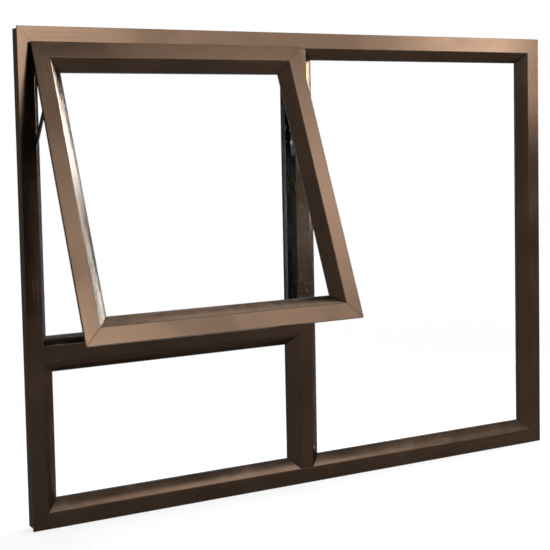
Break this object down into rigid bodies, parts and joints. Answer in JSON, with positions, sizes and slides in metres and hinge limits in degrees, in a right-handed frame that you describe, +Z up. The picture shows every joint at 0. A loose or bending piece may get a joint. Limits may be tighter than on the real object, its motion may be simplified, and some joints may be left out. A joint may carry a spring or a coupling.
{
  "type": "top-hung casement window",
  "caption": "Bronze aluminium window: an open top-hung vent above a fixed light, beside a full-height fixed light, all clear glazed.",
  "frame": {"origin": "on the underside of the sill body, at the middle of its length and of the frame's depth", "axes": "+X right seen from outside, +Y into the room, +Z up; the outside face looks towards -Y"},
  "size_m": [1.19, 0.2544, 0.89],
  "materials": {
    "frame_bronze": "satin bronze anodised",
    "sash_bronze": "satin bronze anodised",
    "bead_bronze": "satin bronze anodised",
    "glass": "clear",
    "rubber": "matt black",
    "stainless": "brushed",
    "handle": "satin bronze"
  },
  "bodies": {
    "root": {"frame_head": "frame_bronze", "frame_sill": "frame_bronze", "left_jamb": "frame_bronze", "right_jamb": "frame_bronze", "mullion": "frame_bronze", "transom": "frame_bronze", "sash_top_rail": "sash_bronze", "sash_bottom_rail": "sash_bronze", "sash_left_stile": "sash_bronze", "sash_right_stile": "sash_bronze", "tall_bead_top": "bead_bronze", "tall_bead_bottom": "bead_bronze", "tall_bead_left": "bead_bronze", "tall_bead_right": "bead_bronze", "tall_glass": "glass", "tall_outer_gasket": "rubber", "tall_inner_gasket": "rubber", "low_bead_top": "bead_bronze", "low_bead_bottom": "bead_bronze", "low_bead_left": "bead_bronze", "low_bead_right": "bead_bronze", "low_glass": "glass", "low_outer_gasket": "rubber", "low_inner_gasket": "rubber", "vent_bead_top": "bead_bronze", "vent_bead_bottom": "bead_bronze", "vent_bead_left": "bead_bronze", "vent_bead_right": "bead_bronze", "vent_glass": "glass", "vent_outer_gasket": "rubber", "vent_inner_gasket": "rubber", "weather_seal": "rubber", "stay_shoes": "stainless", "left_stay_track": "stainless", "left_stay_short_arm": "stainless", "left_stay_long_arm": "stainless", "left_stay_plate": "stainless", "right_stay_track": "stainless", "right_stay_short_arm": "stainless", "right_stay_long_arm": "stainless", "right_stay_plate": "stainless", "handle_base": "handle", "handle_lever": "handle", "keeper": "stainless"}
  },
  "joints": []
}
